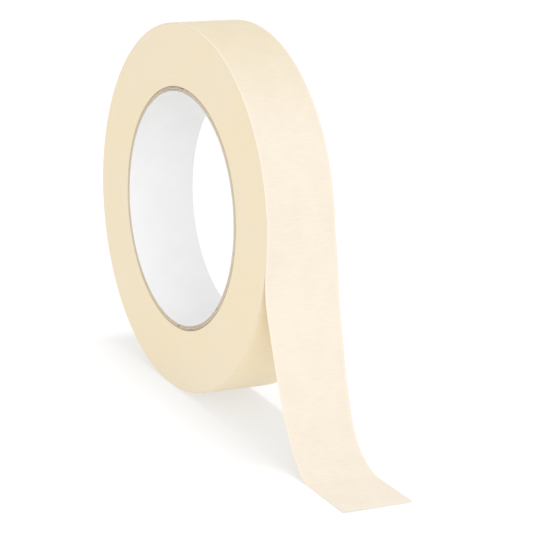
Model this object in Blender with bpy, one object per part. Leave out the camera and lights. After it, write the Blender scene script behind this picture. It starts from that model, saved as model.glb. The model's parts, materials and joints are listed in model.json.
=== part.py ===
"""A roll of masking tape on a paper core, standing on its tread, with its free end pulled out.

The frame: the origin is the point that the roll stands on, under its axis. +Z is up, the roll's
axis lies along Y, and the free end of the tape runs out along +X. Units are metres.
"""

from math import cos, pi, radians, sin

import bmesh
import bpy

# Driving dimensions
TAPE_WIDTH = 0.024
TAPE_LENGTH = 50.0
ROLL_RADIUS = 0.061
BORE_RADIUS = 0.0385
TAIL_REACH = 0.1165  # from under the axis to the cut end of the tape

# The core: a white liner paper inside plies of chipboard, with a line of glue between them
LINER_THICKNESS = 0.0002
PLY_THICKNESS = 0.0004
GLUE_LINE = 0.0001
PLY_NAMES = ("core_ply_inner", "core_ply_middle", "core_ply_outer")

# How the free end hangs: each bend is an arc, given as its length and the direction that it
# turns to, in degrees from straight down towards +X
PEEL_BEND = (0.018, 26.5)
FLARE_BEND = (0.026, 50.0)
FLOOR_BEND = (0.006, 90.0)
HINGE_GAP = 0.0003  # between two lengths of the free end, across a line that they fold on

# The round pieces have flat facets, with one facet under the axis for the roll to stand on
FACETS = 96
HALF_FACET = pi / FACETS
FACETS_UNDER_TAIL = 2  # left open in the last turn, where the free end leaves it
STATION_STEP = 0.002  # between the cross-sections of the free end
SMOOTH_ANGLE = radians(30)

CORE_RADIUS = BORE_RADIUS + LINER_THICKNESS + len(PLY_NAMES) * (PLY_THICKNESS + GLUE_LINE)
PACK_INNER_RADIUS = CORE_RADIUS + GLUE_LINE
TAPE_THICKNESS = pi * (ROLL_RADIUS**2 - CORE_RADIUS**2) / TAPE_LENGTH


def clear_scene():
    for item in list(bpy.data.objects):
        bpy.data.objects.remove(item, do_unlink=True)


def paper(name, colour, roughness):
    material = bpy.data.materials.new(name)
    material.use_nodes = True
    shader = material.node_tree.nodes["Principled BSDF"]
    shader.inputs["Base Color"].default_value = (*colour, 1.0)
    shader.inputs["Roughness"].default_value = roughness
    shader.inputs["Metallic"].default_value = 0.0
    return material


def add_piece(name, shape, material, place):
    """One named sub-part, closed and shaded smooth, from a bmesh that is built around its origin."""
    bmesh.ops.recalc_face_normals(shape, faces=shape.faces[:])
    mesh = bpy.data.meshes.new(name)
    shape.to_mesh(mesh)
    shape.free()
    mesh.materials.append(material)
    mesh.shade_smooth()
    mesh.set_sharp_from_angle(angle=SMOOTH_ANGLE)
    piece = bpy.data.objects.new(name, mesh)
    bpy.context.scene.collection.objects.link(piece)
    piece.location = place
    return piece


def add_ring(name, inner_radius, outer_radius, material, open_facets=0):
    """A ring around the roll's axis. Its radii are those of its flats, and open facets are left
    out below the line where the free end leaves the roll."""
    shape = bmesh.new()
    half_width = TAPE_WIDTH / 2
    inner, outer = (radius / cos(HALF_FACET) for radius in (inner_radius, outer_radius))
    corners = ((inner, -half_width), (outer, -half_width), (outer, half_width), (inner, half_width))
    profile = [
        shape.verts.new((radius * cos(HALF_FACET), y, -radius * sin(HALF_FACET)))
        for radius, y in corners
    ]
    section = shape.faces.new(profile)
    geometry = profile + list(section.edges)
    if open_facets:
        geometry.append(section)
    else:
        shape.faces.remove(section)
    steps = FACETS - open_facets
    bmesh.ops.spin(
        shape,
        geom=geometry,
        cent=(0, 0, 0),
        axis=(0, -1, 0),
        angle=2 * pi * steps / FACETS,
        steps=steps,
        use_merge=not open_facets,
    )
    return add_piece(name, shape, material, (0, 0, ROLL_RADIUS))


def after_arc(place, direction, length, turned_to):
    """The place at the end of an arc, or of a straight run where the direction doesn't change."""
    x, z = place
    turn = turned_to - direction
    if abs(turn) < 1e-9:
        return x + length * sin(direction), z - length * cos(direction)
    radius = length / turn
    return (
        x + radius * (cos(direction) - cos(turned_to)),
        z - radius * (sin(turned_to) - sin(direction)),
    )


def tail_runs():
    """The middle of the free end's thickness, from where it leaves the roll: where it starts, its
    first direction, and its runs as (length, direction turned to)."""
    leaves = ROLL_RADIUS / cos(HALF_FACET) - TAPE_THICKNESS / 2
    start = (leaves * cos(HALF_FACET), ROLL_RADIUS - leaves * sin(HALF_FACET))
    direction = -HALF_FACET
    bends = [(length, radians(angle)) for length, angle in (PEEL_BEND, FLARE_BEND, FLOOR_BEND)]
    place = start
    heading = direction
    for length, turned_to in bends:
        place = after_arc(place, heading, length, turned_to)
        heading = turned_to
    slope = bends[0][1]
    straight = (place[1] - TAPE_THICKNESS / 2) / cos(slope)
    flat = TAIL_REACH - place[0] - straight * sin(slope)
    runs = [bends[0], (straight, slope), bends[1], bends[2], (flat, radians(90))]
    return start, direction, runs


def tail_place(distance):
    """Where the middle of the free end is, at a distance along it from where it leaves the roll."""
    place, direction, runs = tail_runs()
    for length, turned_to in runs:
        if distance < length:
            part_way = direction + (turned_to - direction) * distance / length
            return after_arc(place, direction, distance, part_way)
        place = after_arc(place, direction, length, turned_to)
        direction = turned_to
        distance -= length
    return place


def tail_hinges():
    """The distances along the free end of the lines that it folds on: where it leaves the roll,
    halfway down its straight run, and halfway round its bend onto the ground."""
    lengths = [length for length, _ in tail_runs()[2]]
    return (
        HINGE_GAP / 2,
        lengths[0] + lengths[1] / 2,
        sum(lengths[:3]) + lengths[3] / 2,
    )


def add_tail_length(name, first, last, hinge, material, carrier=None):
    """One stiff length of the free end, from one distance along it to another. Its origin is on
    the line that it folds on, and it hangs from the length before it."""
    origin_x, origin_z = tail_place(hinge)
    steps = round((last - first) / STATION_STEP)
    shape = bmesh.new()
    stations = []
    for step in range(steps + 1):
        x, z = tail_place(first + (last - first) * step / steps)
        stations.append(shape.verts.new((x - origin_x, -TAPE_WIDTH / 2, z - origin_z)))
    edges = [shape.edges.new(pair) for pair in zip(stations, stations[1:])]
    widened = bmesh.ops.extrude_edge_only(shape, edges=edges)["geom"]
    far_side = [item for item in widened if isinstance(item, bmesh.types.BMVert)]
    bmesh.ops.translate(shape, verts=far_side, vec=(0, TAPE_WIDTH, 0))
    place = [origin_x, 0, origin_z]
    if carrier:
        place = [value - carried for value, carried in zip(place, carrier.matrix_world.translation)]
    piece = add_piece(name, shape, material, place)
    piece.parent = carrier
    thicken = piece.modifiers.new("Tape thickness", "SOLIDIFY")
    thicken.thickness = TAPE_THICKNESS
    thicken.offset = 0
    thicken.use_even_offset = True
    bpy.context.view_layer.update()
    return piece


def add_core():
    white = paper("liner_white", (0.86, 0.86, 0.85), 0.6)
    chipboard = paper("core_board", (0.55, 0.46, 0.35), 0.9)
    radius = BORE_RADIUS + LINER_THICKNESS
    add_ring("core_liner", BORE_RADIUS, radius, white)
    for name in PLY_NAMES:
        radius += GLUE_LINE
        add_ring(name, radius, radius + PLY_THICKNESS, chipboard)
        radius += PLY_THICKNESS


def add_tape():
    crepe = paper("tape_crepe", (0.88, 0.78, 0.60), 0.75)
    turn_inside = ROLL_RADIUS - TAPE_THICKNESS
    add_ring("tape_pack", PACK_INNER_RADIUS, turn_inside - GLUE_LINE, crepe)
    add_ring("outer_turn", turn_inside, ROLL_RADIUS, crepe, FACETS_UNDER_TAIL)


def add_tail():
    crepe = paper("tail_crepe", (0.89, 0.80, 0.63), 0.75)
    peel, middle, floor = tail_hinges()
    end = sum(length for length, _ in tail_runs()[2])
    gap = HINGE_GAP / 2
    upper = add_tail_length("tail_upper", peel + gap, middle - gap, peel, crepe)
    lower = add_tail_length("tail_lower", middle + gap, floor - gap, middle, crepe, upper)
    add_tail_length("tail_end", floor + gap, end, floor, crepe, lower)


clear_scene()
add_core()
add_tape()
add_tail()
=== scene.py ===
"""The looks of a roll of masking tape: its paper core, its wound turns and its free end.

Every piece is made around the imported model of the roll, in metres. +Z is up, the roll's axis lies
along Y, and the free end of the tape runs out along +X.
"""

import json
from math import cos, pi, radians, sin, tau

import bmesh
import bpy
from bpy.props import FloatProperty, FloatVectorProperty, IntProperty, PointerProperty
from mathutils import Matrix, Vector, noise


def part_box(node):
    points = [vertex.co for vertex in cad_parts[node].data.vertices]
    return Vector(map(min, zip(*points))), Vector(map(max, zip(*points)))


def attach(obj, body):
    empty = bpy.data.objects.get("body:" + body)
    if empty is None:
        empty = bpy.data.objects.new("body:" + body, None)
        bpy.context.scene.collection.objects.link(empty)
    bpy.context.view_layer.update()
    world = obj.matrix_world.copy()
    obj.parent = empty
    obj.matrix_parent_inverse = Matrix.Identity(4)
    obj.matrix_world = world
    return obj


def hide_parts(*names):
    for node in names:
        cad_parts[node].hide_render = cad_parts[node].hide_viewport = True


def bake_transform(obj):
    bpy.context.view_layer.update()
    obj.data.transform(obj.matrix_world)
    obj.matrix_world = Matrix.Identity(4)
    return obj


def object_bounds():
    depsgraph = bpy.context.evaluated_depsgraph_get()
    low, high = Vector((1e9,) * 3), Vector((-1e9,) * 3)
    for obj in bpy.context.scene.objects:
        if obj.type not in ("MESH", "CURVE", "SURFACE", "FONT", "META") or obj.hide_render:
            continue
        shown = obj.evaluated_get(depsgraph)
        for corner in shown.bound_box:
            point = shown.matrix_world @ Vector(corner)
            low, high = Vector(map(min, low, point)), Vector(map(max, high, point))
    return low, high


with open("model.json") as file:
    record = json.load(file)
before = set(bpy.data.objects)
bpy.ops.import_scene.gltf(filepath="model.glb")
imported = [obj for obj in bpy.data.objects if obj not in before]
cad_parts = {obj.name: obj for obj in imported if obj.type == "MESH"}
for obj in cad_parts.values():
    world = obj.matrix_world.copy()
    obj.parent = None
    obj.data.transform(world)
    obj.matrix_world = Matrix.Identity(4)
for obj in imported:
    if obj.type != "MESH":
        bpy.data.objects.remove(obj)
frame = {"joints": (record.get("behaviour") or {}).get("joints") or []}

bl_info = {
    "name": "Masking Tape Roll",
    "version": (1, 0, 0),
    "blender": (4, 5, 0),
    "location": "3D View > Sidebar > Tape Roll",
    "description": "Makes a roll of crepe paper tape on a paper core, with its free end pulled out",
    "category": "Mesh",
}

CAD_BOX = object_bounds()
HINGES = {joint["name"]: Vector(joint["pos_m"]) for joint in frame["joints"]}

ROLL_LOW, ROLL_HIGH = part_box("outer_turn")
ROLL_RADIUS = ROLL_HIGH.x
AXIS_HEIGHT = (ROLL_LOW.z + ROLL_HIGH.z) / 2
HALF_WIDTH = ROLL_HIGH.y
CORE_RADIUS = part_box("core_ply_outer")[1].x
LINER_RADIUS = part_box("core_liner")[1].x
PLY_PITCH = CORE_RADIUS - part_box("core_ply_middle")[1].x
TAIL_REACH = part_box("tail_end")[1].x

# Which faces of a strip of tape take which of its materials
OUTER_SIDE, ADHESIVE_SIDE = 0, 1

# Where the strips of the free end meet, as distances along the tape
START_OF_PEEL = 0.006
PEEL_MEETS_HANG = 0.014
HANG_MEETS_GROUND = 0.050

# How far the last turn reaches round the roll, and how far the turns under it make room for
# the lap over its own start
LAST_TURN_ANGLE = radians(372)
ROOM_FOR_LAP = radians(15)

# The gap that keeps two turns of tape apart, and the width of the tape's pressed edges
TURN_GAP = 0.00001
SHOULDER_WIDTH = 0.0006

# Stretches of the tape, as distances along it, where its colour changes
# Over this stretch the painted light runs from the roll's underside, painted lighter, to its top,
# painted darker
PAINTED_LIGHT_UNDERSIDE_TO_TOP = (-0.30, -0.20)
WOUND_TO_FREE = (-0.10, -0.035)
# Over this stretch the flat end lying on the ground starts to be painted lighter
HANGING_TO_FLAT = (0.062, 0.074)

# Where each ply's seam is, as an angle from the front of the roll up over its top
SEAMS = {
    "core_liner": radians(100),
    "core_ply_inner": radians(40),
    "core_ply_middle": radians(84),
    "core_ply_outer": radians(-95),
}

# Edges that turn by more than this are drawn sharp
SHARP_ANGLE = radians(40)


class TapeSizes(bpy.types.PropertyGroup):
    length: FloatProperty(
        name="Tape length",
        description="How much tape is wound on the core",
        default=50.0,
        unit="LENGTH",
    )
    leaving_angle: FloatProperty(
        name="Leaving angle",
        description="How far below the roll's front the free end leaves it",
        default=radians(1.875),
        subtype="ANGLE",
    )
    station_step: FloatProperty(
        name="Station step",
        description="Distance along the tape between two cross-sections of its mesh",
        default=0.00025,
        unit="LENGTH",
        precision=5,
    )
    lanes: IntProperty(
        name="Lanes", description="Faces across the width of the tape", default=24
    )
    wrinkle_pitch: FloatProperty(
        name="Wrinkle pitch",
        description="Distance along the tape between two crepe wrinkles",
        default=0.0009,
        unit="LENGTH",
        precision=5,
    )
    wrinkle_height: FloatProperty(
        name="Wrinkle height",
        description="How far the crepe wrinkles stand up",
        default=0.000018,
        unit="LENGTH",
        precision=6,
    )
    wave_height: FloatProperty(
        name="Wave height",
        description="How far the long soft waves of the free end stand up",
        default=0.00025,
        unit="LENGTH",
        precision=5,
    )
    shoulder: FloatProperty(
        name="Shoulder",
        description="How far the edges of the outer turns are pressed in",
        default=0.00008,
        unit="LENGTH",
        precision=6,
    )
    lift: FloatProperty(
        name="Lift",
        description="How far the corners of the free end stand off the ground",
        default=0.0004,
        unit="LENGTH",
        precision=5,
    )
    lead: FloatProperty(
        name="Lead",
        description="How much further out the far edge of the free end stands near the roll",
        default=0.0034,
        unit="LENGTH",
        precision=5,
    )
    sag: FloatProperty(
        name="Sag",
        description="How much further in the far edge of the free end hangs above the ground",
        default=0.0018,
        unit="LENGTH",
        precision=5,
    )


class TailShape(bpy.types.PropertyGroup):
    peel_length: FloatProperty(
        name="Peel length",
        description="Length of the bend where the free end leaves the roll",
        default=0.018,
        unit="LENGTH",
    )
    slope: FloatProperty(
        name="Slope",
        description="How far from straight down the free end hangs",
        default=radians(26.5),
        subtype="ANGLE",
    )
    flare_length: FloatProperty(
        name="Flare length",
        description="Length of the long bend below the straight part",
        default=0.026,
        unit="LENGTH",
    )
    flare_slope: FloatProperty(
        name="Flare slope",
        description="How far from straight down the long bend ends",
        default=radians(50),
        subtype="ANGLE",
    )
    landing_length: FloatProperty(
        name="Landing length",
        description="Length of the bend onto the ground",
        default=0.006,
        unit="LENGTH",
    )
    fold_length: FloatProperty(
        name="Fold length",
        description="Length over which the tape bends when the free end is moved",
        default=0.020,
        unit="LENGTH",
    )


class CoreSizes(bpy.types.PropertyGroup):
    glue_line: FloatProperty(
        name="Glue line",
        description="The gap between two plies of the core",
        default=0.0001,
        unit="LENGTH",
        precision=5,
    )
    liner_thickness: FloatProperty(
        name="Liner thickness",
        description="Thickness of the white liner paper",
        default=0.0002,
        unit="LENGTH",
        precision=5,
    )
    steps: IntProperty(
        name="Steps", description="Faces around each round piece", default=360
    )
    seam_rise: FloatProperty(
        name="Seam rise",
        description="How far round the core a ply's spiral seam runs from edge to edge",
        default=radians(33),
        subtype="ANGLE",
    )
    seam_width: FloatProperty(
        name="Seam width",
        description="Width of the groove where a ply's edges meet",
        default=0.0004,
        unit="LENGTH",
        precision=5,
    )
    fuzz: FloatProperty(
        name="Fuzz",
        description="How uneven the cut edges of the chipboard are",
        default=0.00008,
        unit="LENGTH",
        precision=6,
    )


class Colours(bpy.types.PropertyGroup):
    paper: FloatVectorProperty(
        name="Paper",
        description="The outer side of the tape",
        default=(0.763, 0.68, 0.572),
        subtype="COLOR",
    )
    # Painted shade: the yellower tone of the wound paper stands in for the deeper colour that the
    # roll's top and underside take in shade, not for yellowing with age
    wound_paper_painted_shade: FloatVectorProperty(
        name="Wound paper",
        description="The outer side of the tape that is still wound, which yellows with age",
        default=(0.785, 0.68, 0.48),
        subtype="COLOR",
    )
    # The paler edge colour is partly the paler cut paper and partly a painted highlight along the
    # tape's edges
    paper_edge_and_highlight: FloatVectorProperty(
        name="Paper edge",
        description="The tape near its cut edges",
        default=(0.79, 0.71, 0.59),
        subtype="COLOR",
    )
    cut_side: FloatVectorProperty(
        name="Cut side",
        description="The cut sides of the wound turns",
        default=(0.80, 0.688, 0.49),
        subtype="COLOR",
    )
    adhesive: FloatVectorProperty(
        name="Adhesive",
        description="The inner side of the tape",
        default=(0.76, 0.63, 0.40),
        subtype="COLOR",
    )
    liner: FloatVectorProperty(
        name="Liner",
        description="The white paper inside the core",
        default=(0.77, 0.77, 0.77),
        subtype="COLOR",
    )
    board: FloatVectorProperty(
        name="Board",
        description="The chipboard of the core",
        default=(0.71, 0.61, 0.475),
        subtype="COLOR",
    )


class Studio(bpy.types.PropertyGroup):
    aim: FloatVectorProperty(
        name="Aim",
        description="What the camera looks at",
        default=(0.0403, 0.0, 0.0518),
        subtype="TRANSLATION",
    )
    azimuth: FloatProperty(
        name="Azimuth",
        description="How far round from the roll's side the camera stands",
        default=radians(60.958),
        subtype="ANGLE",
    )
    elevation: FloatProperty(
        name="Elevation",
        description="How far above the horizon the camera stands",
        default=radians(17.055),
        subtype="ANGLE",
    )
    camera_roll: FloatProperty(
        name="Camera roll",
        description="How far the camera leans to one side",
        default=radians(3.468),
        subtype="ANGLE",
    )
    distance: FloatProperty(
        name="Distance",
        description="How far the camera stands from its aim",
        default=0.7344,
        unit="LENGTH",
    )
    lens: FloatProperty(
        name="Lens",
        description="Focal length, in millimetres",
        default=155.78,
    )
    floor_size: FloatProperty(
        name="Floor size",
        description="Length of the floor's sides",
        default=8.0,
        unit="LENGTH",
    )


class Socket:
    """A node's output. Arithmetic on it adds Math nodes to its material."""

    def __init__(self, finish, output):
        self.finish = finish
        self.output = output

    def _math(self, operation, *values):
        return self.finish.node(
            "ShaderNodeMath", {"operation": operation}, dict(enumerate(values))
        )

    def __add__(self, other):
        return self._math("ADD", self, other)

    def __radd__(self, other):
        return self._math("ADD", other, self)

    def __sub__(self, other):
        return self._math("SUBTRACT", self, other)

    def __mul__(self, other):
        return self._math("MULTIPLY", self, other)

    def __truediv__(self, other):
        return self._math("DIVIDE", self, other)

    def __pow__(self, other):
        return self._math("POWER", self, other)

    def __abs__(self):
        return self._math("ABSOLUTE", self)


class Finish:
    """A material that is being made, which ends in one Principled shader."""

    def __init__(self, name, uniform):
        self.material = bpy.data.materials.new(name)
        self.material.use_nodes = True
        self.tree = self.material.node_tree
        self.shader = self.tree.nodes["Principled BSDF"]
        for socket, value in uniform.items():
            self.shader.inputs[socket].default_value = value

    def feed(self, target, value):
        if isinstance(value, Socket):
            self.tree.links.new(value.output, target)
        else:
            target.default_value = value

    def node(self, kind, settings=None, inputs=None, output=0):
        """Adds a node: its settings first, then the values or links of its inputs."""
        made = self.tree.nodes.new(kind)
        for name, value in (settings or {}).items():
            setattr(made, name, value)
        for name, value in (inputs or {}).items():
            self.feed(made.inputs[name], value)
        return Socket(self, made.outputs[output])

    def mix(self, share, first, second):
        """A colour between two colours."""
        inputs = {0: share, 6: (*first, 1) if isinstance(first, tuple) else first}
        inputs[7] = (*second, 1) if isinstance(second, tuple) else second
        return self.node("ShaderNodeMix", {"data_type": "RGBA"}, inputs, 2)

    def shaded(self, colour, share):
        """A colour made darker by a varying share."""
        settings = {"data_type": "RGBA", "blend_type": "MULTIPLY"}
        return self.node("ShaderNodeMix", settings, {0: 1.0, 6: colour, 7: share}, 2)

    def fit(self, value, low, high, lowest=0.0):
        """A value's place in a range, as a smooth share that runs from the lowest up to 1."""
        inputs = {0: value, 1: low, 2: high, 3: lowest, 4: 1.0}
        return self.node("ShaderNodeMapRange", {"interpolation_type": "SMOOTHSTEP"}, inputs)

    def stretched(self, vector, scale):
        return self.node("ShaderNodeMapping", {}, {"Vector": vector, "Scale": scale})

    def cloud(self, vector, scale=1.0, detail=2.0, roughness=0.5):
        """Soft noise, from 0 to 1."""
        inputs = {"Vector": vector, "Scale": scale, "Detail": detail, "Roughness": roughness}
        return self.node("ShaderNodeTexNoise", {}, inputs)

    def bump(self, height, distance):
        inputs = {"Height": height, "Distance": distance, "Strength": 1.0}
        return self.node("ShaderNodeBump", {}, inputs)

    def done(self, base_color, roughness, normal):
        self.feed(self.shader.inputs["Base Color"], base_color)
        self.feed(self.shader.inputs["Roughness"], roughness)
        self.feed(self.shader.inputs["Normal"], normal)
        return self.material


def toned(colour, share):
    """A lighter colour, where the share is over 1, or a darker one."""
    return tuple(channel * share for channel in colour)


def crepe_paper(name, colour, wound_colour, edge_colour, roughness, wrinkle_bump):
    """Crepe paper: wrinkles across the tape, fibres, and the soft cloudiness of thin paper. The
    tape's own map has its length along U and its width along V, in metres."""
    finish = Finish(name, {"Specular IOR Level": 0.35, "Sheen Weight": 0.1})
    flat = finish.node("ShaderNodeUVMap", {"uv_map": "Tape"})
    along = finish.node("ShaderNodeSeparateXYZ", {}, {0: flat})
    across = finish.node("ShaderNodeSeparateXYZ", {}, {0: flat}, 1)
    wrinkles = finish.cloud(finish.stretched(flat, (1500, 260, 1)), detail=3, roughness=0.6)
    fibres = finish.cloud(finish.stretched(flat, (5200, 3600, 1)), detail=2)
    clouds = finish.cloud(finish.stretched(flat, (90, 140, 1)), detail=3)
    near_edge = finish.fit(abs(across), HALF_WIDTH - 0.0012, HALF_WIDTH)
    # Painted light and shade: the roll's underside, which lies in shade, is painted lighter, and
    # its top, which the lamps light, is painted darker
    underside_painted_lighter = toned(wound_colour, 1.09)
    top_painted_darker = toned(wound_colour, 0.94)
    # Painted light: the flat end lying on the ground is painted lighter than the hanging part
    flat_end_painted_lighter = toned(colour, 1.07)
    on_roll = finish.mix(finish.fit(along, *PAINTED_LIGHT_UNDERSIDE_TO_TOP), underside_painted_lighter, top_painted_darker)
    # Where the tape leaves the roll, the painted shade of the wound paper gives way to the free
    # end's own colour
    pulled = finish.mix(finish.fit(along, *WOUND_TO_FREE), on_roll, colour)
    with_painted_light_and_shade = finish.mix(finish.fit(along, *HANGING_TO_FLAT), pulled, flat_end_painted_lighter)
    shade = finish.fit(clouds, 0.3, 0.7, 0.975) * finish.fit(wrinkles, 0.35, 0.6, 0.975)
    # The tape's edges are painted paler: partly the paler cut paper, partly a painted highlight
    coloured = finish.mix(near_edge * 0.7, finish.shaded(with_painted_light_and_shade, shade), edge_colour)
    height = wrinkles * 0.75 + fibres * 0.25
    return finish.done(
        base_color=coloured,
        roughness=roughness + (fibres - 0.5) * 0.2,
        normal=finish.bump(height, wrinkle_bump),
    )


def roll_places(finish):
    """Where a point is on the roll: its distance from the axis, its turn round the axis, and its
    place in the object."""
    place = finish.node("ShaderNodeTexCoord", output=3)
    x = finish.node("ShaderNodeSeparateXYZ", {}, {0: place}, 0)
    z = finish.node("ShaderNodeSeparateXYZ", {}, {0: place}, 2) - AXIS_HEIGHT
    radius = (x * x + z * z) ** 0.5
    turn = finish.node("ShaderNodeMath", {"operation": "ARCTAN2"}, {0: z, 1: x}) / tau
    return radius, turn, place


def cut_side(thickness):
    """The cut edges of the wound turns: one fine line for each turn, wider bands where the
    winding was tighter or looser, and the grain of the cut paper."""
    colours = bpy.context.scene.tape_colours
    colour = tuple(colours.cut_side)
    finish = Finish("cut_side", {"Specular IOR Level": 0.3})
    radius, turn, place = roll_places(finish)
    wound = (radius / thickness + turn) * tau
    lines = finish.node("ShaderNodeMath", {"operation": "SINE"}, {0: wound}) * 0.5 + 0.5
    rings = finish.node(
        "ShaderNodeTexNoise",
        {"noise_dimensions": "1D"},
        {"W": radius / thickness + turn, "Scale": 0.31, "Detail": 3.0, "Roughness": 0.6},
    )
    patches = finish.cloud(place, 55, detail=2)
    grain = finish.cloud(place, 3500, detail=2)
    banded = finish.mix(finish.fit(rings, 0.3, 0.7), toned(colour, 0.965), colour)
    lined = finish.mix(lines * 0.06, banded, toned(colour, 0.8))
    patched = finish.mix(finish.fit(patches, 0.35, 0.7) * 0.25, lined, tuple(colours.paper))
    height = lines * 0.2 + rings * 0.5 + grain * 0.3
    return finish.done(
        base_color=patched,
        roughness=0.72 + (grain - 0.5) * 0.2,
        normal=finish.bump(height, 0.00003),
    )


def liner_paper():
    """White, lightly polished paper, with faint fibres and soft clouds."""
    colour = tuple(bpy.context.scene.tape_colours.liner)
    finish = Finish("liner_paper", {"Specular IOR Level": 0.45})
    _, _, place = roll_places(finish)
    fibres = finish.cloud(place, 2600, detail=3)
    clouds = finish.cloud(place, 120, detail=3)
    coloured = finish.mix(finish.fit(clouds, 0.3, 0.7), toned(colour, 0.975), colour)
    return finish.done(
        base_color=coloured,
        roughness=0.5 + (fibres - 0.5) * 0.25,
        normal=finish.bump(fibres, 0.000012),
    )


def chipboard():
    """Grey-brown recycled board: soft layers, long fibres and darker flecks."""
    colour = tuple(bpy.context.scene.tape_colours.board)
    finish = Finish("chipboard", {"Specular IOR Level": 0.2})
    radius, _, place = roll_places(finish)
    layers = finish.node(
        "ShaderNodeTexNoise",
        {"noise_dimensions": "1D"},
        {"W": radius, "Scale": 9000.0, "Detail": 2.0},
    )
    fibres = finish.cloud(place, 1900, detail=4, roughness=0.65)
    flecks = finish.fit(finish.cloud(place, 900, detail=1), 0.66, 0.74)
    plain = finish.mix(finish.fit(fibres, 0.3, 0.7), toned(colour, 0.82), colour)
    layered = finish.mix(finish.fit(layers, 0.4, 0.65) * 0.35, plain, toned(colour, 0.7))
    flecked = finish.mix(flecks * 0.5, layered, toned(colour, 0.5))
    # Painted shadow: a dark line along the core's outer edge, where the wound tape shades the gap
    # between core and tape
    painted_gap_shadow = finish.fit(radius, CORE_RADIUS - 0.0003, CORE_RADIUS - 0.0001)
    with_painted_gap_shadow = finish.mix(painted_gap_shadow * 0.8, flecked, toned(colour, 0.45))
    return finish.done(
        base_color=with_painted_gap_shadow,
        roughness=0.9 + (fibres - 0.5) * 0.1,
        normal=finish.bump(fibres * 0.7 + layers * 0.3, 0.00006),
    )


def add_piece(name, shape, materials, replaced):
    """Makes an object from a finished bmesh, which stands in for CAD nodes."""
    mesh = bpy.data.meshes.new(name)
    shape.to_mesh(mesh)
    shape.free()
    for material in materials:
        mesh.materials.append(material)
    mesh.shade_smooth()
    mesh.set_sharp_from_angle(angle=SHARP_ANGLE)
    piece = bpy.data.objects.new(name, mesh)
    bpy.context.scene.collection.objects.link(piece)
    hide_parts(*replaced)
    return piece


def turned(profile, steps, rise=0.0):
    """A ring turned round the roll's axis from a closed profile of (radius, y) points. A rise
    shears it, so that its edges run round the roll as well as across it."""
    shape = bmesh.new()
    corners = []
    for radius, y in profile:
        angle = rise * y / (2 * HALF_WIDTH)
        place = (radius * cos(angle), y, AXIS_HEIGHT + radius * sin(angle))
        corners.append(shape.verts.new(place))
    for first, second in zip(corners, corners[1:] + corners[:1]):
        shape.edges.new((first, second))
    bmesh.ops.spin(
        shape,
        geom=shape.verts[:] + shape.edges[:],
        cent=(0, 0, AXIS_HEIGHT),
        axis=(0, -1, 0),
        angle=tau,
        steps=steps,
        use_merge=True,
    )
    bmesh.ops.recalc_face_normals(shape, faces=shape.faces[:])
    return shape


def round_the_axis(place):
    """A place as its distance from the axis and its angle, from the front up over the top."""
    across = Vector((place.x, place.z - AXIS_HEIGHT))
    return across.length, across.angle_signed(Vector((1, 0)))


def put_round_the_axis(vertex, radius, angle):
    vertex.co.x = radius * cos(angle)
    vertex.co.z = AXIS_HEIGHT + radius * sin(angle)


def after_arc(place, direction, length, turned_to):
    """The place at the end of an arc, or of a straight run where the direction doesn't change."""
    x, z = place
    turn = turned_to - direction
    if abs(turn) < 1e-9:
        return x + length * sin(direction), z - length * cos(direction)
    radius = length / turn
    return (
        x + radius * (cos(direction) - cos(turned_to)),
        z - radius * (sin(turned_to) - sin(direction)),
    )


def tape_thickness():
    """The thickness that makes the whole length of tape fill the roll."""
    return pi * (ROLL_RADIUS**2 - CORE_RADIUS**2) / bpy.context.scene.tape_sizes.length


class TapePath:
    """The middle of the tape's thickness. Distances are along the tape from where it leaves the
    roll: negative ones are wound on it, and positive ones are on the free end."""

    def __init__(self):
        sizes = bpy.context.scene.tape_sizes
        tail = bpy.context.scene.tail_shape
        self.thickness = tape_thickness()
        self.leaving = -sizes.leaving_angle
        self.start = self.on_the_roll(0)[0]
        bends = [
            (tail.peel_length, tail.slope),
            (tail.flare_length, tail.flare_slope),
            (tail.landing_length, pi / 2),
        ]
        place, direction = self.start, self.leaving
        for length, turned_to in bends:
            place = after_arc(place, direction, length, turned_to)
            direction = turned_to
        straight = (place[1] - self.thickness / 2) / cos(tail.slope)
        flat = TAIL_REACH - place[0] - straight * sin(tail.slope)
        self.runs = [bends[0], (straight, tail.slope), *bends[1:], (flat, pi / 2)]
        self.end = sum(length for length, _ in self.runs)

    def on_the_roll(self, distance):
        turn = -distance / ROLL_RADIUS
        angle = self.leaving + turn
        radius = ROLL_RADIUS - self.thickness * (0.5 + turn / tau)
        return (radius * cos(angle), AXIS_HEIGHT + radius * sin(angle)), angle

    def at(self, distance):
        """The place (x, z) and the direction, as an angle from straight down towards +X."""
        if distance < 0:
            return self.on_the_roll(distance)
        place, direction = self.start, self.leaving
        for length, turned_to in self.runs:
            if distance < length:
                reached = direction + (turned_to - direction) * distance / length
                return after_arc(place, direction, distance, reached), reached
            place = after_arc(place, direction, length, turned_to)
            direction = turned_to
            distance -= length
        return (place[0] + distance, place[1]), direction

    def point(self, distance):
        (x, z), _ = self.at(distance)
        return Vector((x, 0, z))


def part_way(value, low, high):
    """How far a value is from low to high: 0 before it and 1 past it."""
    return min(max((value - low) / (high - low), 0), 1)


def rise(value, low, high):
    """0 up to low and 1 from high, with a smooth slope between."""
    share = part_way(value, low, high)
    return share * share * (3 - 2 * share)


def rise_and_fall(value, low, top_low, top_high, high):
    """0 up to low, 1 from top_low to top_high, and 0 from high, with smooth slopes between."""
    return min(rise(value, low, top_low), 1 - rise(value, top_high, high))


def crepe_height(distance, across):
    """The crepe wrinkles, which run across the tape, with finer ones between them."""
    sizes = bpy.context.scene.tape_sizes
    pitch = sizes.wrinkle_pitch
    fine = noise.noise(Vector((distance / pitch, across / (7 * pitch), 1.7)))
    finer = noise.noise(Vector((distance / (0.45 * pitch), across / (3 * pitch), 8.1)))
    return sizes.wrinkle_height * (fine + 0.5 * finer)


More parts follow.
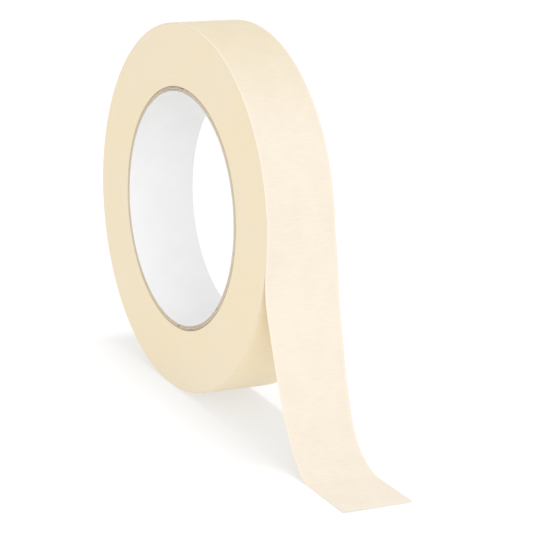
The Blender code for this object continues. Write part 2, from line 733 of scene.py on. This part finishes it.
def tape_offset(distance, across):
    """How far the tape stands out from its path: its wrinkles, the pressed edges of the turns on
    the roll, the lead and sag of its far edge, its long soft waves, and the lift of its end."""
    sizes = bpy.context.scene.tape_sizes
    sideways = across / HALF_WIDTH
    to_far_edge = sideways / 2 + 0.5
    pressed = max(0, abs(across) - (HALF_WIDTH - SHOULDER_WIDTH)) / SHOULDER_WIDTH
    on_roll = part_way(-distance, 0, START_OF_PEEL)
    leading = rise_and_fall(distance, -0.013, 0.006, 0.013, 0.044)
    sagging = rise_and_fall(distance, 0.040, 0.055, 0.059, 0.069)
    hanging = rise_and_fall(distance, -0.004, 0.012, 0.060, 0.074)
    soft_wave = noise.noise(Vector((distance / 0.017, across / 0.012, 4.4)))
    to_end = part_way(distance, 0.074, 0.092)
    curled = to_end**2 * (0.6 - 0.4 * sideways) + 0.4 * to_end * sideways**2
    return (
        crepe_height(distance, across)
        - sizes.shoulder * pressed**2 * on_roll
        + sizes.lead * to_far_edge * leading
        - sizes.sag * to_far_edge * sagging
        + sizes.wave_height * hanging * soft_wave
        + sizes.lift * curled
    )


def tape_strip(path, start, end):
    """A length of tape as a closed slab. It is cut flat, mapped, and then laid along its path."""
    sizes = bpy.context.scene.tape_sizes
    shape = bmesh.new()
    stations = round((end - start) / sizes.station_step)
    bmesh.ops.create_grid(shape, x_segments=stations, y_segments=sizes.lanes, size=0.5)
    bmesh.ops.scale(shape, vec=(end - start, 2 * HALF_WIDTH, 1), verts=shape.verts)
    bmesh.ops.translate(shape, vec=((start + end) / 2, 0, 0), verts=shape.verts)
    thickness = path.thickness - TURN_GAP
    bmesh.ops.solidify(shape, geom=shape.faces[:], thickness=thickness)
    lowest = min(vertex.co.z for vertex in shape.verts)
    bmesh.ops.translate(
        shape, vec=(0, 0, path.thickness / 2 - thickness - lowest), verts=shape.verts
    )
    shape.normal_update()
    flat = shape.loops.layers.uv.new("Tape")
    for face in shape.faces:
        face.material_index = ADHESIVE_SIDE if face.normal.z < -0.5 else OUTER_SIDE
        for loop in face.loops:
            loop[flat].uv = loop.vert.co.xy
    stations_at = {}
    for vertex in shape.verts:
        distance, across, height = vertex.co
        key = round(distance / sizes.station_step * 4)
        if key not in stations_at:
            stations_at[key] = path.at(distance)
        (x, z), direction = stations_at[key]
        height += tape_offset(distance, across)
        vertex.co = (x + height * cos(direction), across, z + height * sin(direction))
    bmesh.ops.recalc_face_normals(shape, faces=shape.faces[:])
    return shape


def tape_materials():
    """The outer side's paper and the adhesive side, which all the strips of tape share."""
    colours = bpy.context.scene.tape_colours
    paper, wound, edge = (
        tuple(colour) for colour in (colours.paper, colours.wound_paper_painted_shade, colours.paper_edge_and_highlight)
    )
    sticky = tuple(colours.adhesive)
    found = [bpy.data.materials.get(name) for name in ("crepe_paper", "adhesive_side")]
    return [
        found[0] or crepe_paper("crepe_paper", paper, wound, edge, 0.62, 0.00005),
        found[1] or crepe_paper("adhesive_side", sticky, sticky, sticky, 0.38, 0.00003),
    ]


class TAPE_ROLL_OT_liner(bpy.types.Operator):
    """Makes the white liner paper inside the core, with its spiral seam"""

    bl_idname = "tape_roll.liner"
    bl_label = "Core Liner"

    def execute(self, context):
        sizes = context.scene.core_sizes
        inner = LINER_RADIUS - sizes.liner_thickness
        middle = LINER_RADIUS - sizes.liner_thickness / 2
        waviness = 0.00004
        rows = 16
        ys = [HALF_WIDTH * (2 * row / rows - 1) for row in range(rows + 1)]
        profile = [(inner, y) for y in ys] + [(LINER_RADIUS, y) for y in reversed(ys)]
        shape = turned(profile, sizes.steps, sizes.seam_rise)
        groove = sizes.seam_width / inner
        step = tau / sizes.steps
        for vertex in shape.verts:
            radius, angle = round_the_axis(vertex.co)
            slant = sizes.seam_rise * vertex.co.y / (2 * HALF_WIDTH)
            from_seam = (angle - slant - SEAMS["core_liner"] + pi) % tau - pi
            wave = noise.noise(Vector((2.2 * cos(angle), 2.2 * sin(angle), vertex.co.y * 60)))
            moved = radius + waviness * wave
            if abs(from_seam) < 0.5 * step and radius < middle:
                moved += 0.6 * sizes.liner_thickness
            if 0.5 * step < abs(from_seam) < 1.5 * step:
                angle += (groove / 2 - step) * (1 if from_seam > 0 else -1)
            put_round_the_axis(vertex, moved, angle)
        piece = add_piece(
            "bore_liner", shape, [liner_paper()], ["core_liner"]
        )
        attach(piece, "roll")
        return {"FINISHED"}


class TAPE_ROLL_OT_plies(bpy.types.Operator):
    """Makes the core's three chipboard plies, with uneven cut edges and a notch at each seam"""

    bl_idname = "tape_roll.plies"
    bl_label = "Core Plies"

    def execute(self, context):
        sizes = context.scene.core_sizes
        material = chipboard()
        thickness = PLY_PITCH - sizes.glue_line
        corner = thickness / 4
        edge_depth = 0.001
        notch_depth = 0.0008
        bulge = 0.00003
        unworn = HALF_WIDTH - 0.006
        for index, node in enumerate(("core_ply_inner", "core_ply_middle", "core_ply_outer")):
            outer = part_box(node)[1].x
            inner = outer - thickness
            half_profile = [
                (inner, unworn),
                (inner, HALF_WIDTH - 2 * corner),
                (inner + corner / 3, HALF_WIDTH - corner / 3),
                (inner + 1.3 * corner, HALF_WIDTH),
                (outer - 1.3 * corner, HALF_WIDTH),
                (outer - corner / 3, HALF_WIDTH - corner / 3),
                (outer, HALF_WIDTH - 2 * corner),
                (outer, unworn),
            ]
            mirrored = [(radius, -y) for radius, y in reversed(half_profile)]
            shape = turned(half_profile + mirrored, 2 * sizes.steps)
            for vertex in shape.verts:
                radius, angle = round_the_axis(vertex.co)
                side = 1 if vertex.co.y > 0 else -1
                at_edge = rise(abs(vertex.co.y), HALF_WIDTH - edge_depth, HALF_WIDTH)
                place = Vector((cos(angle) * 14, sin(angle) * 14, side * 3 + index))
                rough = noise.noise(place * 3) + 0.6 * noise.noise(place * 9)
                from_seam = (angle - SEAMS[node] * side + pi) % tau - pi
                notch = rise_and_fall(from_seam, -0.060, -0.015, 0.002, 0.010)
                sunk = sizes.fuzz * (1 + rough) + notch_depth * notch
                vertex.co.y -= side * at_edge * sunk
                swollen = bulge * noise.noise(place * 2 + Vector((5, 5, 5)))
                put_round_the_axis(vertex, radius + at_edge * swollen, angle)
            piece = add_piece(
                node.replace("core_ply", "board_ply"), shape, [material], [node]
            )
            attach(piece, "roll")
        return {"FINISHED"}


class TAPE_ROLL_OT_wound_turns(bpy.types.Operator):
    """Makes the wound turns of tape as one ring, with slightly uneven turns on its cut sides"""

    bl_idname = "tape_roll.wound_turns"
    bl_label = "Wound Turns"

    def execute(self, context):
        sizes = context.scene.tape_sizes
        thickness = tape_thickness()
        inner = CORE_RADIUS + context.scene.core_sizes.glue_line
        outer = ROLL_RADIUS - thickness
        rows = 56
        front, back = [], []
        for row in range(rows + 1):
            radius = inner + (outer - inner) * row / rows
            for side, seed in ((front, 0.0), (back, 40.0)):
                uneven = noise.noise(Vector((row * 0.73, seed, 2.0)))
                slow = noise.noise(Vector((row * 0.13, seed, 9.0)))
                side.append((radius, 0.00001 * uneven + 0.00002 * slow))
        profile = [(radius, -HALF_WIDTH - out) for radius, out in front]
        profile[-1] = (outer - sizes.shoulder, -HALF_WIDTH)
        profile += [
            (outer, -HALF_WIDTH + SHOULDER_WIDTH),
            (outer, HALF_WIDTH - SHOULDER_WIDTH),
            (outer - sizes.shoulder, HALF_WIDTH),
        ]
        profile += [(radius, HALF_WIDTH + out) for radius, out in reversed(back[:-1])]
        shape = turned(profile, context.scene.core_sizes.steps)
        for vertex in shape.verts:
            radius, angle = round_the_axis(vertex.co)
            wound = (angle + sizes.leaving_angle) % tau
            layers = wound / tau + (1 if wound < ROOM_FOR_LAP else 0)
            sunk = rise(radius, outer - 0.0008, outer - 0.0002) * (thickness * layers + TURN_GAP)
            put_round_the_axis(vertex, radius - sunk, angle)
        piece = add_piece(
            "wound_turns", shape, [cut_side(thickness)], ["tape_pack"]
        )
        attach(piece, "roll")
        return {"FINISHED"}


class TAPE_ROLL_OT_last_turn(bpy.types.Operator):
    """Makes the last turn of tape on the roll, which laps over its own start"""

    bl_idname = "tape_roll.last_turn"
    bl_label = "Last Turn"

    def execute(self, context):
        path = TapePath()
        shape = tape_strip(path, -LAST_TURN_ANGLE * ROLL_RADIUS, -START_OF_PEEL)
        piece = add_piece(
            "last_turn", shape, tape_materials(), ["outer_turn"]
        )
        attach(piece, "roll")
        return {"FINISHED"}


class TAPE_ROLL_OT_free_end(bpy.types.Operator):
    """Makes the free end of the tape, in three strips that meet end to end"""

    bl_idname = "tape_roll.free_end"
    bl_label = "Free End"

    def execute(self, context):
        path = TapePath()
        fold = context.scene.tail_shape.fold_length
        ends = (-START_OF_PEEL, PEEL_MEETS_HANG, HANG_MEETS_GROUND, path.end)
        bodies = ("roll", "tail_upper", "tail_lower", "tail_end")
        strips = (
            ("peeling_strip", "tail_peel"),
            ("hanging_strip", "tail_bend"),
            ("landing_strip", "tail_end_curl"),
        )
        search_steps = 400
        for index, (name, joint) in enumerate(strips):
            start, end = ends[index : index + 2]
            before, after = bodies[index : index + 2]
            shape = tape_strip(path, start, end)
            piece = add_piece(name, shape, tape_materials(), [after])
            hinge = HINGES[joint]
            step = (end - start) / search_steps
            stations = [start + step * count for count in range(search_steps + 1)]
            at = min(stations, key=lambda distance: (path.point(distance) - hinge).length)
            bend_start = at if joint == "tail_peel" else at - fold / 2
            bend_end = min(at + fold / 2, end)
            path.point(bend_start)
            path.point(bend_end)
            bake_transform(piece)
            end - start
        return {"FINISHED"}


class TAPE_ROLL_OT_studio(bpy.types.Operator):
    """Makes the pale floor, the soft lights and the camera"""

    bl_idname = "tape_roll.studio"
    bl_label = "Studio"

    def execute(self, context):
        scene = context.scene
        studio = scene.studio
        floor = self.add_floor(studio)
        lamps = self.add_lights()
        self.light_only(lamps["shadow_light"], floor)
        self.add_camera(scene, studio)
        scene.view_settings.view_transform = "Standard"
        return {"FINISHED"}

    def add_floor(self, studio):
        shape = bmesh.new()
        bmesh.ops.create_grid(shape, x_segments=8, y_segments=8, size=studio.floor_size / 2)
        mesh = bpy.data.meshes.new("floor")
        shape.to_mesh(mesh)
        shape.free()
        white = {
            "Base Color": (0.31, 0.31, 0.31, 1),
            "Roughness": 0.9,
            "Specular IOR Level": 0.0,
            "Emission Color": (1, 1, 1, 1),
            "Emission Strength": 0.575,
        }
        mesh.materials.append(Finish("floor_white", white).material)
        floor = bpy.data.objects.new("floor", mesh)
        just_below = 0.00002
        floor.location.z = min(0, CAD_BOX[0].z) - just_below
        bpy.context.scene.collection.objects.link(floor)
        return floor

    def add_lights(self):
        world = bpy.data.worlds.new("soft_room")
        bpy.context.scene.world = world
        world.use_nodes = True
        background = world.node_tree.nodes["Background"]
        background.inputs["Color"].default_value = (1, 1, 1, 1)
        background.inputs["Strength"].default_value = 1.012
        # Each light's name, place, side in metres and power in watts
        lights = (
            ("front_light", Vector((1.1, -0.5, 0.55)), 0.9, 5.2),
            ("top_light", Vector((0.1, -0.1, 1.3)), 0.5, 0.7),
            ("shadow_light", Vector((-0.25, 0.08, 1.25)), 0.25, 8.2),
        )
        middle = Vector((0.02, 0, AXIS_HEIGHT))
        lamps = {}
        for name, place, size, power in lights:
            light = bpy.data.lights.new(name, "AREA")
            light.shape = "SQUARE"
            light.size = size
            light.energy = power
            lamp = bpy.data.objects.new(name, light)
            lamp.location = place
            lamp.rotation_euler = (middle - place).to_track_quat("-Z", "Y").to_euler()
            bpy.context.scene.collection.objects.link(lamp)
            lamps[name] = lamp
        return lamps

    def light_only(self, lamp, lit):
        """Lets a lamp light one object only. The roll still casts its shadow in that light, but
        the roll's own shading stays soft."""
        receivers = bpy.data.collections.new("lit_by_" + lamp.name)
        receivers.objects.link(lit)
        lamp.light_linking.receiver_collection = receivers

    def add_camera(self, scene, studio):
        round_z, up = studio.azimuth, studio.elevation
        back = Vector((sin(round_z) * cos(up), -cos(round_z) * cos(up), sin(up)))
        data = bpy.data.cameras.new("camera")
        data.lens = studio.lens
        data.sensor_width = 36.0
        data.clip_start, data.clip_end = 0.01, 50
        camera = bpy.data.objects.new("camera", data)
        level = (-back).to_track_quat("-Z", "Y").to_matrix().to_4x4()
        leaning = Matrix.Rotation(studio.camera_roll, 4, "Z")
        place = Matrix.Translation(Vector(studio.aim) + back * studio.distance)
        camera.matrix_world = place @ level @ leaning
        scene.collection.objects.link(camera)
        scene.camera = camera


class TAPE_ROLL_PT_pieces(bpy.types.Panel):
    """The pieces of the tape roll, and the sizes and colours that they are made with"""

    bl_label = "Tape Roll"
    bl_space_type = "VIEW_3D"
    bl_region_type = "UI"
    bl_category = "Tape Roll"

    def draw(self, context):
        for settings in SETTINGS:
            box = self.layout.box()
            group = getattr(context.scene, settings)
            for name in group.bl_rna.properties.keys():
                if name not in ("name", "rna_type"):
                    box.prop(group, name)
        for operator in OPERATORS:
            self.layout.operator(operator.bl_idname)


SETTINGS = {
    "tape_sizes": TapeSizes,
    "tail_shape": TailShape,
    "core_sizes": CoreSizes,
    "tape_colours": Colours,
    "studio": Studio,
}
OPERATORS = (
    TAPE_ROLL_OT_liner,
    TAPE_ROLL_OT_plies,
    TAPE_ROLL_OT_wound_turns,
    TAPE_ROLL_OT_last_turn,
    TAPE_ROLL_OT_free_end,
    TAPE_ROLL_OT_studio,
)


def register():
    for group in (*SETTINGS.values(), *OPERATORS, TAPE_ROLL_PT_pieces):
        bpy.utils.register_class(group)
    for name, group in SETTINGS.items():
        setattr(bpy.types.Scene, name, PointerProperty(type=group))


def unregister():
    for name in SETTINGS:
        delattr(bpy.types.Scene, name)
    for group in reversed((*SETTINGS.values(), *OPERATORS, TAPE_ROLL_PT_pieces)):
        bpy.utils.unregister_class(group)


def main():
    register()
    bpy.ops.tape_roll.studio()
    bpy.ops.tape_roll.liner()
    bpy.ops.tape_roll.plies()
    bpy.ops.tape_roll.wound_turns()
    bpy.ops.tape_roll.last_turn()
    bpy.ops.tape_roll.free_end()


if __name__ == "__main__":
    main()
